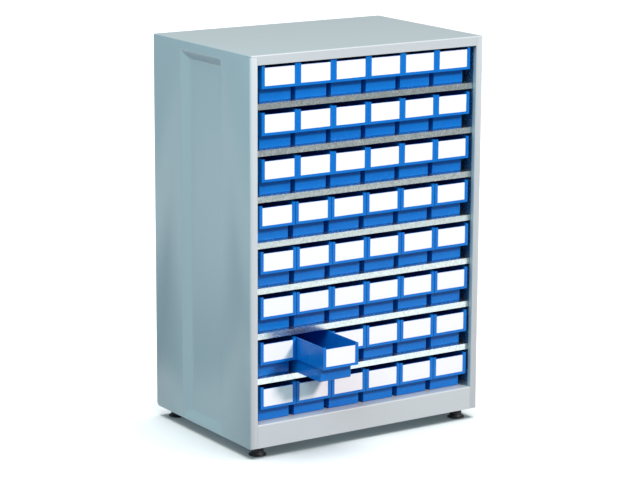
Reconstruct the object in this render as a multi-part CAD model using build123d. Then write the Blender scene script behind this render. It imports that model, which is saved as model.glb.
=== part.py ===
from build123d import *
import os

# A small-parts cabinet: a carcass of painted sheet steel with seven galvanised shelves,
# forty-eight plastic bins that slide out over the shelf edges, and four levelling feet.
# All sizes are in millimetres. +X is to the right, +Y to the back and +Z up.
# The origin is on the floor, under the middle of the object as it stands at rest,
# with one bin drawn out.

# --- Driving dimensions ---
carcass_w = 605.0
carcass_d = 408.0
carcass_h = 854.0
foot_h = 24.0  # gap between the carcass and the floor
sheet = 1.2  # carcass sheet
fit = 0.3  # gap between carcass sheets that are only tacked together

rows = 8
columns = 6
row_pitch = 99.6
column_pitch = 91.4
drawn_row = 7  # the bin that stands drawn out at rest
drawn_column = 2
drawn_out = 105.0
close_rows = 3  # in the top rows the loose bins stand closer together
close_pitch = 90.2
shifted_row = 4  # and this row stands a little to the left
row_shift = -3.0

stile_w = 18.5  # front stiles and rear flanges of the side panels
stile_return = 11.0
corner_r = 5.0  # folded front corners of the carcass
rear_corner_r = 2.0
heel_cut = 8.0  # cut-off rear bottom corner of each side
cap_h = 4.0  # edge of the top panel
cap_r = 3.0
rail_h = 21.0  # top rail, over the bins
plinth_h = 52.0  # up to the floor that the lowest bins stand on
plinth_bend_r = 3.0
lip = 12.0  # folded-in edges of the rail and the plinth
floor_back_gap = 4.0

recess_d = 14.0  # pressed panel in each side
recess_bevel = 20.0
recess_front = 119.5
recess_w = 169.0
recess_bottom = 4.0
recess_top_gap = 21.0

post_d = 33.0  # shelf posts, hidden behind the stiles
post_front = 12.2
post_back_gap = 13.0
clip_w = 20.0  # clips on the posts, two under each end of each shelf
clip_reach = 10.0
clip_t = 2.0

shelf_t = 1.0
shelf_setback = 11.5  # front edge, behind the front of the carcass
shelf_end_gap = 0.7  # between a shelf and the posts
shelf_front_h = 13.0
shelf_hem = 8.0
shelf_back_h = 13.0  # upturned edge that stops a bin as it is pushed in
shelf_length = 391.0

bin_w = 89.8
bin_length = 394.0
bin_h = 81.0
bin_setback = 5.0  # label frame, behind the front of the carcass
bin_wall = 2.0
step_z = 32.0  # the upper part of a bin is wider and longer than its foot
foot_inset = 6.0
foot_setback = 20.0
front_t = 3.2
label_w = 74.0
label_h = 38.5
label_z = 37.7
pocket_clear = 0.5
pocket_d = 1.4
bin_chamfer = 2.5
stop_w = 30.0  # tab on the rear wall that catches behind the shelf above
stop_h = 10.0

foot_x = 36.0  # centre of a foot, from the side of the carcass
foot_y = 30.0  # centre of a foot, from the front or back
pad_r = 19.5
pad_top_r = 11.0
pad_neck_r = 14.5
pad_neck_h = 8.0
pad_edge_h = 3.0
pad_gap = 1.0
stud_r = 4.0
stud_top = 34.0
stud_clear = 0.05
bracket_w = 42.0
bracket_d = 48.0
bracket_t = 3.0
nut_across = 13.0
nut_h = 8.0

# --- Places worked out from them ---
left = -carcass_w / 2
right = carcass_w / 2
front = -(carcass_d - (drawn_out - bin_setback)) / 2
back = front + carcass_d
under = foot_h
top = foot_h + carcass_h
floor_z = under + plinth_h
stile_in = left + stile_w
back_sheet_y = back - sheet - fit - sheet


def block(x, y, z):
    """A box between three pairs of limits."""
    spans = (x, y, z)
    centre = [(low + high) / 2 for low, high in spans]
    return Pos(*centre) * Box(*[high - low for low, high in spans])


def corner(face, x_side, y_side):
    """The corner of a plan outline: -1 for its low side and 1 for its high side."""
    pair = face.vertices().sort_by(Axis.X)
    pair = pair[:2] if x_side < 0 else pair[-2:]
    return pair.sort_by(Axis.Y)[0 if y_side < 0 else -1]


def shelf_level(row):
    """Height of the surface that a row of bins stands on. Row 1 is the top row."""
    return floor_z + (rows - row) * row_pitch


def bin_middle(row, column):
    """The middle of a bin from left to right. Column 1 is on the left."""
    pitch = close_pitch if row <= close_rows else column_pitch
    shift = row_shift if row == shifted_row else 0
    return (column - (columns + 1) / 2) * pitch + shift


# --- Carcass ---
def recess(depth_in, grow):
    """The pressed recess of the left side as a solid that narrows inwards."""
    width = recess_w + 2 * grow
    height = carcass_h - recess_top_gap - recess_bottom + 2 * grow
    solid = Wedge(
        width,
        recess_d,
        height,
        recess_bevel,
        recess_bevel,
        width - recess_bevel,
        height - recess_bevel,
    )
    # the wedge's axis is Y, and becomes X
    solid = Rot(0, 0, -90) * solid
    y = front + recess_front + recess_w / 2
    z = under + recess_bottom + (carcass_h - recess_top_gap - recess_bottom) / 2
    return Pos(left + depth_in + recess_d / 2, y, z) * solid


def side_panel():
    """The left side: one sheet folded into a front stile and a rear flange, with a recess."""
    height = carcass_h - cap_h
    plan = Pos(left + stile_w / 2, (front + back) / 2) * Rectangle(stile_w, carcass_d)
    plan = fillet(corner(plan, -1, -1), corner_r)
    plan = fillet(corner(plan, -1, 1), rear_corner_r)
    hollow = Pos(left + stile_w / 2, (front + back) / 2) * Rectangle(
        stile_w - 2 * sheet, carcass_d - 2 * sheet
    )
    hollow = fillet(corner(hollow, -1, -1), corner_r - sheet)
    panel = Pos(0, 0, under) * extrude(plan - hollow, height)
    panel -= block(
        (stile_in - sheet, stile_in),
        (front + stile_return, back - sheet),
        (under, top),
    )

    foot_flange = Pos(0, 0, under) * extrude(plan, sheet)
    neck = block(
        (left + sheet, left + 2 * sheet),
        (front + corner_r, back - corner_r),
        (top - 2 * cap_h, top - sheet),
    )
    top_flange = block(
        (left + sheet, stile_in),
        (front + corner_r, back - corner_r),
        (top - 2 * sheet, top - sheet),
    )
    panel = panel + foot_flange + neck + top_flange

    panel = panel + recess(sheet, 0.3 * sheet) - recess(0, 0)
    heel = Pos(left + stile_w / 2, back, under) * Rot(45, 0, 0) * Box(
        2 * stile_w, heel_cut * 2**0.5, heel_cut * 2**0.5
    )
    return panel - heel


def top_panel():
    """The top: a shallow cap with rounded edges, and the rails under its front and back."""
    plan = Pos(0, (front + back) / 2) * Rectangle(carcass_w, carcass_d)
    for side in (-1, 1):
        plan = fillet(corner(plan, side, -1), corner_r)
        plan = fillet(corner(plan, side, 1), rear_corner_r + 1)
    cap = Pos(0, 0, top - cap_h) * extrude(plan, cap_h)
    cap = fillet(cap.faces().sort_by(Axis.Z)[-1].edges(), cap_r - 0.5)
    inside = block(
        (left + sheet, right - sheet),
        (front + sheet, back - sheet),
        (top - cap_h, top - sheet),
    )
    panel = cap - inside

    rail_x = (stile_in + fit, -stile_in - fit)
    rail_z = (top - rail_h, top - cap_h)
    for face_y, lip_y in (
        ((front, front + sheet), (front, front + lip)),
        ((back - sheet, back), (back - sheet, back)),
    ):
        panel += block(rail_x, face_y, rail_z)
        panel += block(rail_x, lip_y, (rail_z[0], rail_z[0] + sheet))
    return panel


def base_panel():
    """The floor under the lowest bins and the plinth in front of it, folded from one sheet."""
    x = (stile_in + fit, -stile_in - fit)
    y = (front, back - floor_back_gap)
    body = block(x, y, (under, floor_z))
    bend = body.edges().filter_by(Axis.X).group_by(Axis.Z)[-1].sort_by(Axis.Y)[0]
    body = fillet(bend, plinth_bend_r)
    body -= block(
        (x[0] + sheet, x[1] - sheet),
        (y[0] + sheet, y[1] - sheet),
        (under + sheet, floor_z - sheet),
    )
    # open from below, inside the folded-in edges
    return body - block(
        (x[0] + lip, x[1] - lip), (y[0] + lip, y[1] - lip), (under, under + sheet)
    )


def back_panel():
    """The flat rear sheet, held behind the rear flanges of the sides."""
    return block(
        (left + sheet + fit, right - sheet - fit),
        (back_sheet_y, back_sheet_y + sheet),
        (under + sheet + fit, top - 2 * sheet - fit),
    )


def shelf_post(y_low):
    """A folded post on the left."""
    x = (left + sheet, stile_in)
    y = (y_low, y_low + post_d)
    z = (floor_z + fit, top - 2 * cap_h - fit)
    return block(x, y, z) - block(
        (x[0] - sheet, x[1] - sheet), (y[0] + sheet, y[1] - sheet), z
    )


def shelf_clips(y_low):
    """The clips on one left post, one for each shelf."""
    x = (stile_in, stile_in + clip_reach)
    y = (y_low + (post_d - clip_w) / 2, y_low + (post_d + clip_w) / 2)
    levels = [shelf_level(row) - shelf_t for row in range(1, rows)]
    return [block(x, y, (level - clip_t, level)) for level in levels]


def shelf(level):
    """A galvanised shelf with a hemmed front edge and an upturned back edge."""
    x = (stile_in + shelf_end_gap, -stile_in - shelf_end_gap)
    y = (front + shelf_setback, front + shelf_setback + shelf_length)
    plate = block(x, y, (level - shelf_t, level))
    nose = block(x, (y[0], y[0] + shelf_t), (level - shelf_front_h, level))
    hem_z = level - shelf_front_h
    hem = block(x, (y[0], y[0] + shelf_hem), (hem_z, hem_z + shelf_t))
    stop = block(x, (y[1] - shelf_t, y[1]), (level - shelf_t, level + shelf_back_h))
    return plate + nose + hem + stop


# --- Bins ---
def storage_bin():
    """One bin, with its bottom at z = 0, its label frame at y = 0 and its middle at x = 0."""
    half = bin_w / 2
    foot_half = half - foot_inset
    upper = block((-half, half), (0, bin_length), (step_z, bin_h))
    foot = block((-foot_half, foot_half), (foot_setback, bin_length), (0, step_z))
    foot_edges = foot.faces().sort_by(Axis.Y)[0].edges()
    foot = chamfer(foot_edges.sort_by(Axis.Z)[0], bin_chamfer)
    body = upper + foot

    body -= block(
        (-half + bin_wall, half - bin_wall),
        (front_t, bin_length - bin_wall),
        (step_z + bin_wall, bin_h),
    )
    body -= block(
        (-foot_half + bin_wall, foot_half - bin_wall),
        (foot_setback + bin_wall + bin_chamfer, bin_length - bin_wall),
        (bin_wall, bin_h),
    )
    pocket_half = label_w / 2 + pocket_clear
    body -= block(
        (-pocket_half, pocket_half),
        (0, pocket_d),
        (label_z - pocket_clear, label_z + label_h + pocket_clear),
    )
    body -= block(  # the front wall ends at the card, and the sides of its frame rise higher
        (-pocket_half, pocket_half),
        (0, front_t),
        (label_z + label_h + pocket_clear, bin_h),
    )
    body += block(
        (-stop_w / 2, stop_w / 2),
        (bin_length - bin_wall, bin_length),
        (bin_h, bin_h + stop_h),
    )
    return body


# --- Feet ---
def foot():
    """A levelling foot with its sole on the floor: a flared pad and its threaded stud."""
    pad_top = foot_h - pad_gap
    profile = Polyline(
        (0, 0),
        (pad_r - 1, 0),
        (pad_r, 1),
        (pad_r, pad_edge_h),
        (pad_neck_r, pad_neck_h),
        (pad_top_r, pad_top),
        (stud_r, pad_top),
        (stud_r, foot_h + stud_top - 1),
        (stud_r - 1, foot_h + stud_top),
        (0, foot_h + stud_top),
        close=True,
    )
    return revolve(Plane.XZ * make_face(profile), Axis.Z)


def foot_bracket():
    """The plate and welded nut that a front left foot screws into."""
    x = (stile_in + fit + sheet, stile_in + fit + sheet + bracket_w)
    y = (front + foot_y - bracket_d / 2, front + foot_y + bracket_d / 2)
    z = under + sheet
    plate = block(x, y, (z, z + bracket_t))
    nut = Pos(left + foot_x, front + foot_y, z + bracket_t) * extrude(
        RegularPolygon(nut_across / 2, 6, major_radius=False), nut_h
    )
    bore = Pos(left + foot_x, front + foot_y, z) * Cylinder(
        stud_r + stud_clear, 4 * nut_h
    )
    return plate + nut - bore


# --- Assembly ---
def across(solid):
    """The same piece on the other side."""
    return mirror(solid, Plane.YZ)


def front_to_back(solid):
    """The same piece at the other end of the depth."""
    return mirror(solid, Plane.XZ.offset(-(front + back) / 2))


side_left = side_panel()
post_places = [front + post_front, back - post_back_gap - post_d]
posts_left = [shelf_post(y) for y in post_places]
posts_left += [clip for y in post_places for clip in shelf_clips(y)]
front_bracket = foot_bracket()
brackets_left = [front_bracket, front_to_back(front_bracket)]

parts = {
    "side_panel_left": [side_left],
    "side_panel_right": [across(side_left)],
    "top_panel": [top_panel()],
    "base_panel": [base_panel()],
    "back_panel": [back_panel()],
    "shelf_posts": posts_left + [across(post) for post in posts_left],
    "shelves": [shelf(shelf_level(row)) for row in range(1, rows)],
    "foot_brackets": brackets_left + [across(bracket) for bracket in brackets_left],
}

levelling_foot = foot()
for end, y in (("front", front + foot_y), ("rear", back - foot_y)):
    for side, x in (("left", left + foot_x), ("right", right - foot_x)):
        parts[f"foot_{end}_{side}"] = [Pos(x, y, 0) * levelling_foot]

one_bin = storage_bin()
for row in range(1, rows + 1):
    for column in range(1, columns + 1):
        is_drawn = (row, column) == (drawn_row, drawn_column)
        y = front + bin_setback - (drawn_out if is_drawn else 0)
        parts[f"bin_r{row}_c{column}"] = [
            Pos(bin_middle(row, column), y, shelf_level(row)) * one_bin
        ]

os.makedirs("parts", exist_ok=True)
for name, solids in parts.items():
    export_step(Compound(children=solids) if len(solids) > 1 else solids[0], f"parts/{name}.step")
print(len(parts), "nodes written")
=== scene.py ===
import math

import bmesh
import bpy
from mathutils import Matrix, Vector


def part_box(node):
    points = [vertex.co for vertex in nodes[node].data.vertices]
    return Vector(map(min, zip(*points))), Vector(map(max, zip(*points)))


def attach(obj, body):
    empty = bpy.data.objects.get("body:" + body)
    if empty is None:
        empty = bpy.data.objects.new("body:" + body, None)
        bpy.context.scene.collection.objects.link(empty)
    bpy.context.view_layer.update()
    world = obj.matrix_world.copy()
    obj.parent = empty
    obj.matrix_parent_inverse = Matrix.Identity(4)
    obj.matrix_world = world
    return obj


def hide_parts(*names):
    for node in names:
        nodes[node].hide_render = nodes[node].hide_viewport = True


# The looks of a small-parts cabinet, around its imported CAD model. All sizes are in metres.
# +X is to the right as seen from the front, +Y to the back and +Z up.

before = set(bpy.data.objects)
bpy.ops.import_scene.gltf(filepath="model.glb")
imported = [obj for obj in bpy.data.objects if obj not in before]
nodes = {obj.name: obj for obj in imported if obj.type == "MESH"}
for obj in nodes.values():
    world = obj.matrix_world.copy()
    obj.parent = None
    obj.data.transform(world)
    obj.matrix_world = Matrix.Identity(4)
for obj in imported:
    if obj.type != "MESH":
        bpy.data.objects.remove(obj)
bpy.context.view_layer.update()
scene = bpy.context.scene

rows = 8
columns = 6
bin_nodes = [f"bin_r{row}_c{column}" for row in range(1, rows + 1) for column in range(1, columns + 1)]
foot_nodes = ["foot_front_left", "foot_front_right", "foot_rear_left", "foot_rear_right"]
side_nodes = ["side_panel_left", "side_panel_right"]

# --- Camera ---
camera_place = Vector((-2.9353, -4.4330, 1.6144))
camera_azimuth = math.radians(33.281)  # of its line of sight, from +Y towards +X
camera_fall = math.radians(12.640)  # below the horizon
camera_roll = math.radians(0.285)
camera_lens = 137.27  # in mm, as the sensor's width is
sensor_width = 36.0
camera_reach = 200

# --- Light ---
# A lamp's strength is how bright a white surface that faces it becomes, in the middle of the object.
# Azimuth 0 is straight in front of the cabinet and 90 on its right. Angles are in degrees.
middle = Vector((0, 0, 0.5))
world_left = (0.20, 0.30, 0.37, 1)
world_right = (0.26, 0.29, 0.30, 1)
world_above = (0.52, 0.62, 0.62, 1)
world_sweep = (-0.7, 0.5)  # from the left colour to the right one, along the direction's X
world_rise = (0.35, 0.9)  # and up to the colour above, along its Z
key_lamp = {"azimuth": 25, "elevation": 31, "distance": 10.0, "size": 1.5, "strength": 0.86}
key_colour = (0.99, 0.835, 0.84)
left_lamp = {"azimuth": -55, "elevation": 41, "distance": 3.5, "size": 1.9, "strength": 0.50}
left_colour = (0.62, 0.90, 1.0)
above_lamp = {"azimuth": 30, "elevation": 86, "softness": 52, "strength": 1.2}
above_colour = (0.96, 0.99, 1.0)

# --- Paper on the floor ---
floor_radius = 60
mirrored_drop = 0.002  # how far the sheet that only mirrors see lies below the floor
paper_side = 4.0
paper_front = -2.05  # the upper shelves mirror what is beyond it
paper_back = 4.0
paper_hole_x = (-0.95, -0.28)  # the lower rear of the left side mirrors this hole in the sheet
paper_hole_y = (0.45, 1.40)

# --- Side panels ---
recess_edges_y = (-0.0345, 0.1345)  # outer edges of the pressed recess
recess_edges_z = (0.028, 0.857)
recess_bevel = 0.020
recess_depth = 0.014
side_x = 0.3025
same_place = 1e-4  # how near a corner is to where it should be
weld_distance = 2e-6
flat_angle = math.radians(0.6)
bend_width = 0.0065
bend_segments = 5
outer_bend_weight = 0.6  # share of bend_width at the recess's outer outline and its corners
recess_edges = 12

# --- Softened edges ---
sheet_softness = 0.0005
sharp_angle = math.radians(32)

# --- Label cards ---
card_w = 0.0740
card_h = 0.0385
card_t = 0.0005
card_corner = 0.0008
card_corner_points = 5
card_low = 0.0377  # lower edge of the card, over the bottom of its bin
pocket_depth = 0.0014
card_lean = math.radians(0.25)  # at most
card_lean_step = 2.4

# --- Feet, in mm ---
mm_in_m = 1000
pad_profile = (  # radius and height of a foot's pad, from the sole up
    (0, 0),
    (16.6, 0),
    (18.4, 0.3),
    (19.3, 1.1),
    (19.3, 2.3),
    (18.9, 2.9),
    (17.4, 3.5),
    (15.2, 4.6),
    (14.4, 5.8),
    (14.2, 7.6),
    (13.7, 8.2),
    (12.6, 8.3),
    (12.3, 8.8),
    (12.6, 9.3),
    (13.4, 9.4),
    (13.5, 10.0),
    (13.0, 13.4),
    (12.0, 13.5),
    (11.7, 14.0),
    (12.0, 14.5),
    (12.7, 14.6),
    (12.8, 15.2),
    (12.2, 18.4),
    (11.3, 18.5),
    (11.0, 19.0),
    (11.3, 19.5),
    (11.9, 19.6),
    (11.9, 20.2),
    (11.0, 22.6),
    (10.4, 22.9),
    (3.6, 22.9),
)
stud_r = 3.9
stud_core_r = 3.25
stud_tip_r = 2.9
stud_top = 57.6
thread_pitch = 1.25
thread_profile = (  # share of the pitch, and radius there
    (0.1, stud_core_r),
    (0.45, stud_r),
    (0.6, stud_r),
    (0.95, stud_core_r),
)
foot_segments = 56
foot_crease = math.radians(28)
foot_turn = 0.7  # in radians, from one foot to the next


# --- Materials ---
mix_share, mix_first, mix_second = 0, 6, 7  # a colour Mix node's inputs, which share their names
mix_colour = 2  # and its output


class Shader:
    """A material with one Principled shader, and short calls that add nodes to it."""

    def __init__(self, name):
        self.material = bpy.data.materials.new(name)
        self.material.use_nodes = True
        self.tree = self.material.node_tree
        self.surface = self.tree.nodes["Principled BSDF"]

    def add(self, kind, inputs, **settings):
        made = self.tree.nodes.new("ShaderNode" + kind)
        for name, value in settings.items():
            setattr(made, name, value)
        self.fill(made, inputs)
        return made

    def fill(self, made, inputs):
        for name, value in inputs.items():
            if isinstance(value, bpy.types.NodeSocket):
                self.tree.links.new(value, made.inputs[name])
            else:
                made.inputs[name].default_value = value

    def place(self, scale=(1, 1, 1)):
        """Where a point is on its own piece, in metres, stretched by scale."""
        where = self.add("TexCoord", {}).outputs["Object"]
        mapping = self.add("Mapping", {"Vector": where, "Scale": scale})
        return mapping.outputs["Vector"]

    def noise(self, scale, detail=2.0, stretch=(1, 1, 1)):
        made = self.add("TexNoise", {"Vector": self.place(stretch), "Scale": scale, "Detail": detail})
        return made.outputs["Fac"]

    def between(self, value, low, high, start=0.3, end=0.7):
        """A value that goes from low to high as the given one goes from start to end."""
        made = self.add(
            "MapRange",
            {"Value": value, "From Min": start, "From Max": end, "To Min": low, "To Max": high},
        )
        return made.outputs["Result"]

    def mix(self, share, first, second):
        """The first colour where share is 0, and the second where it is 1."""
        made = self.add("Mix", {}, data_type="RGBA")
        sockets = [made.inputs[place] for place in (mix_share, mix_first, mix_second)]
        for socket, value in zip(sockets, (share, first, second)):
            if isinstance(value, bpy.types.NodeSocket):
                self.tree.links.new(value, socket)
            else:
                socket.default_value = value
        return made.outputs[mix_colour]

    def bump(self, height, depth):
        """Surface relief of that depth in metres."""
        return self.add("Bump", {"Height": height, "Strength": 1.0, "Distance": depth}).outputs["Normal"]

    def finish(self, **inputs):
        """The material, with these inputs of its surface. A name's spaces are written _."""
        self.fill(self.surface, {name.replace("_", " "): value for name, value in inputs.items()})
        return self.material


def grey(value):
    return (value, value, value, 1.0)


def painted_steel():
    """Light grey powder coat: orange peel, a slight cloudiness, uneven gloss."""
    s = Shader("painted_steel")
    tone = s.mix(s.noise(3.0, 1.0), (0.550, 0.590, 0.590, 1), (0.575, 0.615, 0.615, 1))
    gloss = s.between(s.noise(40.0, 1.0), 0.33, 0.37)
    peel = s.bump(s.noise(420.0, 1.0), 0.000010)
    return s.finish(Base_Color=tone, Roughness=gloss, Normal=peel, IOR=1.5)


def galvanised_steel():
    """Galvanised sheet: grains of zinc that each catch the light differently."""
    s = Shader("galvanised_steel")
    grains = s.add("TexVoronoi", {"Vector": s.place((1, 1.7, 1)), "Scale": 260.0, "Randomness": 1.0})
    grain = s.add("SeparateColor", {"Color": grains.outputs["Color"]})
    tone = s.mix(grain.outputs["Red"], (0.59, 0.64, 0.625, 1), (0.75, 0.79, 0.78, 1))
    gloss = s.between(grain.outputs["Green"], 0.20, 0.28, 0, 1)
    rolled = s.bump(s.noise(6.0, 3.0, (2, 160, 160)), 0.00001)
    return s.finish(Base_Color=tone, Metallic=0.95, Roughness=gloss, Normal=rolled)


def bracket_steel():
    """Bright zinc plate, slightly blue, with a drawn grain."""
    s = Shader("bracket_steel")
    tone = s.mix(s.noise(60.0, 3.0), (0.52, 0.56, 0.60, 1), (0.70, 0.72, 0.72, 1))
    gloss = s.between(s.noise(220.0, 2.0), 0.25, 0.45)
    relief = s.bump(s.noise(900.0, 2.0, (1, 6, 1)), 0.000015)
    return s.finish(Base_Color=tone, Metallic=1.0, Roughness=gloss, Normal=relief)


def bin_plastic():
    """Glossy blue polypropylene: faint flow marks, and each bin's shade a little its own."""
    s = Shader("bin_plastic")
    own = s.add("ObjectInfo", {}).outputs["Random"]
    shade = s.mix(own, (0.003, 0.160, 0.58, 1), (0.003, 0.178, 0.62, 1))
    flow = s.between(s.noise(22.0, 3.0, (1, 1, 0.35)), 0.0, 1.0)
    tone = s.mix(flow, shade, (0.004, 0.185, 0.61, 1))
    gloss = s.between(s.noise(75.0, 3.0), 0.20, 0.29)
    relief = s.bump(s.noise(1400.0, 1.0), 0.000006)
    return s.finish(Base_Color=tone, Roughness=gloss, Normal=relief, IOR=1.49, Specular_IOR_Level=0.22)


def label_card():
    """Blank white card with a fine fibre."""
    s = Shader("label_card")
    fibres = s.noise(900.0, 4.0, (1, 1, 3))
    tone = s.mix(fibres, (0.93, 0.94, 0.95, 1), (0.97, 0.97, 0.97, 1))
    relief = s.bump(fibres, 0.00002)
    return s.finish(Base_Color=tone, Roughness=0.55, Normal=relief)


def foot_plastic():
    """Black moulded plastic with a fine spark-eroded grain."""
    s = Shader("foot_plastic")
    grain = s.noise(1100.0, 2.0)
    tone = s.mix(s.noise(40.0), (0.004, 0.005, 0.007, 1), (0.011, 0.012, 0.014, 1))
    gloss = s.between(grain, 0.42, 0.60)
    return s.finish(Base_Color=tone, Roughness=gloss, Normal=s.bump(grain, 0.00004))


def floor_paper():
    """Matt white studio paper."""
    s = Shader("floor_paper")
    tone = s.mix(s.noise(3.0), grey(0.88), grey(0.90))
    return s.finish(Base_Color=tone, Roughness=0.9)


# --- Shapes ---
def add_object(name, mesh, material):
    made = bpy.data.objects.new(name, mesh)
    scene.collection.objects.link(made)
    if not mesh.materials:
        mesh.materials.append(material)
    return made


def mesh_of(name, work, smooth=True):
    """A mesh datablock from a bmesh, which is freed."""
    mesh = bpy.data.meshes.new(name)
    bmesh.ops.recalc_face_normals(work, faces=work.faces)
    for face in work.faces:
        face.smooth = smooth
    work.to_mesh(mesh)
    work.free()
    return mesh


def soften(obj, width):
    """Rounds an object's edges a little, so that they catch the light. It needs faces that share
    their corners, which those of a CAD node don't."""
    bevel = obj.modifiers.new("soft_edges", "BEVEL")
    bevel.width = width
    bevel.segments = 2
    bevel.limit_method = "ANGLE"
    bevel.angle_limit = sharp_angle
    bevel.harden_normals = True


def rounded_card():
    """A card with rounded corners, its back at y = 0 and its front at y = -card_t."""
    work = bmesh.new()
    outline = []
    for x_side, z_side, start in ((1, 1, 0), (-1, 1, 90), (-1, -1, 180), (1, -1, 270)):
        cx = x_side * (card_w / 2 - card_corner)
        cz = card_h / 2 + z_side * (card_h / 2 - card_corner)
        for step in range(card_corner_points):
            angle = math.radians(start + 90 * step / (card_corner_points - 1))
            outline.append((cx + card_corner * math.cos(angle), cz + card_corner * math.sin(angle)))
    back = [work.verts.new((x, 0, z)) for x, z in outline]
    front = [work.verts.new((x, -card_t, z)) for x, z in outline]
    work.faces.new(back)
    work.faces.new(front[::-1])
    for i in range(len(outline)):
        j = (i + 1) % len(outline)
        work.faces.new((back[i], back[j], front[j], front[i]))
    return mesh_of("label_card_mesh", work, smooth=False)


def add_cards(material):
    """A blank card in the label frame of every bin."""
    mesh = rounded_card()
    for number, node in enumerate(bin_nodes):
        low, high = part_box(node)
        lean = card_lean * math.sin(card_lean_step * number)
        card = add_object(node.replace("bin_", "label_"), mesh, material)
        place = Vector(((low.x + high.x) / 2, low.y + pocket_depth, low.z + card_low))
        card.matrix_world = Matrix.Translation(place) @ Matrix.Rotation(lean, 4, "Y")
        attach(card, node)


def stands_for(obj, node):
    """obj replaces that CAD node, and moves with its body."""
    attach(obj, node if node in foot_nodes else "carcass")
    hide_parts(node)


def add_side_panel(node, material):
    """The CAD node's own side panel, with the wide soft bends of a pressed recess."""
    source = nodes[node]
    work = bmesh.new()
    work.from_mesh(source.data)
    work.transform(source.matrix_world)
    bmesh.ops.remove_doubles(work, verts=work.verts, dist=weld_distance)
    bmesh.ops.dissolve_limit(
        work, angle_limit=flat_angle, verts=work.verts, edges=work.edges, use_dissolve_boundaries=False
    )
    weight = work.edges.layers.float.new("bevel_weight_edge")
    low_z, high_z = recess_edges_z
    low_y, high_y = recess_edges_y

    def corner_kind(vert):
        """Says "outer" at a corner of the recess's outline, "inner" at one of its bottom, or None."""
        x, y, z = abs(vert.co.x), vert.co.y, vert.co.z
        for kind, depth, inset in (("outer", 0, 0), ("inner", recess_depth, recess_bevel)):
            in_y = min(abs(y - low_y - inset), abs(y - high_y + inset)) < same_place
            in_z = min(abs(z - low_z - inset), abs(z - high_z + inset)) < same_place
            if in_y and in_z and abs(x - side_x + depth) < same_place:
                return kind
        return None

    found = 0
    for edge in work.edges:
        kinds = [corner_kind(vert) for vert in edge.verts]
        if all(kinds):
            edge[weight] = 1.0 if kinds == ["inner", "inner"] else outer_bend_weight
            found += 1
    if found != recess_edges:
        raise ValueError(f"{node} has {found} recess edges, and not {recess_edges}")
    panel = add_object(f"{node}_soft", mesh_of(f"{node}_soft", work), material)
    bends = panel.modifiers.new("pressed_bends", "BEVEL")
    bends.limit_method = "WEIGHT"
    bends.width = bend_width
    bends.segments = bend_segments
    bends.harden_normals = True
    soften(panel, sheet_softness)
    stands_for(panel, node)


def add_feet(material):
    """Levelling feet with a grooved pad and a threaded stud."""
    pad_top = pad_profile[-1][1]
    outline = list(pad_profile)
    for turn in range(int((stud_top - pad_top) / thread_pitch)):
        z = pad_top + turn * thread_pitch
        outline += [(radius, z + share * thread_pitch) for share, radius in thread_profile]
    outline += [(stud_tip_r, stud_top), (0, stud_top)]
    work = bmesh.new()
    path = [work.verts.new((r / mm_in_m, 0, z / mm_in_m)) for r, z in outline]
    edges = [work.edges.new(pair) for pair in zip(path, path[1:])]
    bmesh.ops.spin(
        work,
        geom=path + edges,
        cent=(0, 0, 0),
        axis=(0, 0, 1),
        angle=math.tau,
        steps=foot_segments,
        use_merge=True,
    )
    bmesh.ops.remove_doubles(work, verts=work.verts, dist=1e-7)
    mesh = mesh_of("foot_mesh", work)
    mesh.set_sharp_from_angle(angle=foot_crease)
    for number, node in enumerate(foot_nodes):
        low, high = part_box(node)
        foot = add_object(f"{node}_detailed", mesh, material)
        place = Vector(((low.x + high.x) / 2, (low.y + high.y) / 2, low.z))
        foot.matrix_world = Matrix.Translation(place) @ Matrix.Rotation(foot_turn * number, 4, "Z")
        stands_for(foot, node)


# --- Studio ---
def add_camera():
    ahead = Vector(
        (
            math.sin(camera_azimuth) * math.cos(camera_fall),
            math.cos(camera_azimuth) * math.cos(camera_fall),
            -math.sin(camera_fall),
        )
    )
    level = ahead.cross(Vector((0, 0, 1))).normalized()
    upright = level.cross(ahead)
    side = math.cos(camera_roll) * level + math.sin(camera_roll) * upright
    above = math.cos(camera_roll) * upright - math.sin(camera_roll) * level
    turn = Matrix((side, above, -ahead)).transposed().to_4x4()
    data = bpy.data.cameras.new("camera")
    data.lens = camera_lens
    data.sensor_width = sensor_width
    data.clip_end = camera_reach
    camera = bpy.data.objects.new("camera", data)
    camera.matrix_world = Matrix.Translation(camera_place) @ turn
    scene.collection.objects.link(camera)
    scene.camera = camera


def towards_light(azimuth, elevation):
    a, e = math.radians(azimuth), math.radians(elevation)
    return Vector((math.sin(a) * math.cos(e), -math.cos(a) * math.cos(e), math.sin(e)))


def add_softbox(name, colour, azimuth, elevation, distance, size, strength):
    """A square soft light that faces the middle of the cabinet."""
    data = bpy.data.lights.new(name, "AREA")
    data.size = size
    data.energy = strength * math.pi**2 * distance**2
    data.color = colour
    light = bpy.data.objects.new(name, data)
    way = towards_light(azimuth, elevation)
    light.location = middle + distance * way
    light.rotation_euler = way.to_track_quat("Z", "Y").to_euler()
    scene.collection.objects.link(light)
    return light


def add_sun(name, colour, azimuth, elevation, softness, strength):
    data = bpy.data.lights.new(name, "SUN")
    data.energy = math.pi * strength
    data.angle = math.radians(softness)
    data.color = colour
    light = bpy.data.objects.new(name, data)
    light.rotation_euler = towards_light(azimuth, elevation).to_track_quat("Z", "Y").to_euler()
    scene.collection.objects.link(light)
    return light


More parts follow.
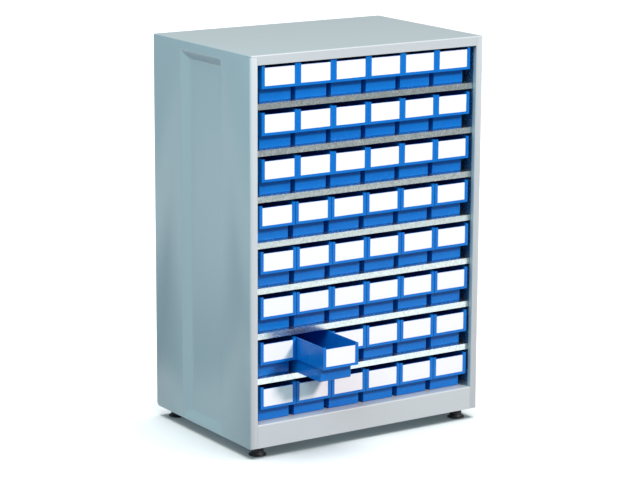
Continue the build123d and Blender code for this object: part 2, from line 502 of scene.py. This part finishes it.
def add_paper(material):
    """White paper on the floor as far as the camera sees, and a smaller sheet that only the
    cabinet's gloss mirrors. Neither lights the cabinet from below."""
    work = bmesh.new()
    bmesh.ops.create_circle(work, cap_ends=True, segments=96, radius=floor_radius)
    floor = add_object("floor", mesh_of("floor", work), material)
    floor.visible_diffuse = False
    floor.visible_glossy = False
    floor.visible_shadow = False
    work = bmesh.new()
    across = (-paper_side, *paper_hole_x, paper_side)
    along = (paper_front, *paper_hole_y, paper_back)
    grid = [[work.verts.new((x, y, -mirrored_drop)) for y in along] for x in across]
    hole = (1, 1)
    for i in range(3):
        for j in range(3):
            if (i, j) != hole:
                work.faces.new((grid[i][j], grid[i + 1][j], grid[i + 1][j + 1], grid[i][j + 1]))
    mirrored = add_object("mirrored_paper", mesh_of("mirrored_paper", work), material)
    mirrored.visible_diffuse = False
    mirrored.visible_camera = False
    return floor, mirrored


def add_world():
    """Daylight that is bluer on the left of the cabinet than on its right, and brighter above."""
    world = bpy.data.worlds.new("world")
    world.use_nodes = True
    tree = world.node_tree
    direction = tree.nodes.new("ShaderNodeTexCoord").outputs["Generated"]
    split = tree.nodes.new("ShaderNodeSeparateXYZ")
    tree.links.new(direction, split.inputs[0])
    colour = world_left
    for axis, (start, end), further in (("X", world_sweep, world_right), ("Z", world_rise, world_above)):
        share = tree.nodes.new("ShaderNodeMapRange")
        share.inputs["From Min"].default_value = start
        share.inputs["From Max"].default_value = end
        tree.links.new(split.outputs[axis], share.inputs["Value"])
        mix = tree.nodes.new("ShaderNodeMix")
        mix.data_type = "RGBA"
        mix.inputs[mix_second].default_value = further
        if colour is world_left:
            mix.inputs[mix_first].default_value = colour
        else:
            tree.links.new(colour, mix.inputs[mix_first])
        tree.links.new(share.outputs["Result"], mix.inputs[mix_share])
        colour = mix.outputs[mix_colour]
    tree.links.new(colour, tree.nodes["Background"].inputs["Color"])
    scene.world = world


def add_studio():
    """The paper is lit from above only, and the cabinet by the soft boxes."""
    scene.view_settings.view_transform = "Standard"
    add_world()
    paper = add_paper(floor_paper())
    lit = bpy.data.collections.new("lit_from_above")
    not_lit = bpy.data.collections.new("not_lit_by_softboxes")
    for sheet in paper:
        lit.objects.link(sheet)
        not_lit.objects.link(sheet)
    for linked in not_lit.collection_objects:
        linked.light_linking.link_state = "EXCLUDE"
    above = add_sun("above", above_colour, **above_lamp)
    above.light_linking.receiver_collection = lit
    key = add_softbox("key", key_colour, **key_lamp)
    left = add_softbox("left", left_colour, **left_lamp)
    key.light_linking.receiver_collection = not_lit
    left.light_linking.receiver_collection = not_lit


# --- Assembly ---
add_camera()

paint = painted_steel()
zinc_sheet = galvanised_steel()
zinc_plate = bracket_steel()
blue = bin_plastic()
card_white = label_card()
black = foot_plastic()

for node in side_nodes:
    add_side_panel(node, paint)
add_feet(black)
finishes = {node: paint for node in ("top_panel", "base_panel", "back_panel")}
finishes["shelf_posts"] = zinc_sheet
finishes["shelves"] = zinc_sheet
finishes["foot_brackets"] = zinc_plate
finishes.update({node: blue for node in bin_nodes})
for node, material in finishes.items():
    nodes[node].data.materials.clear()
    nodes[node].data.materials.append(material)

add_cards(card_white)
add_studio()
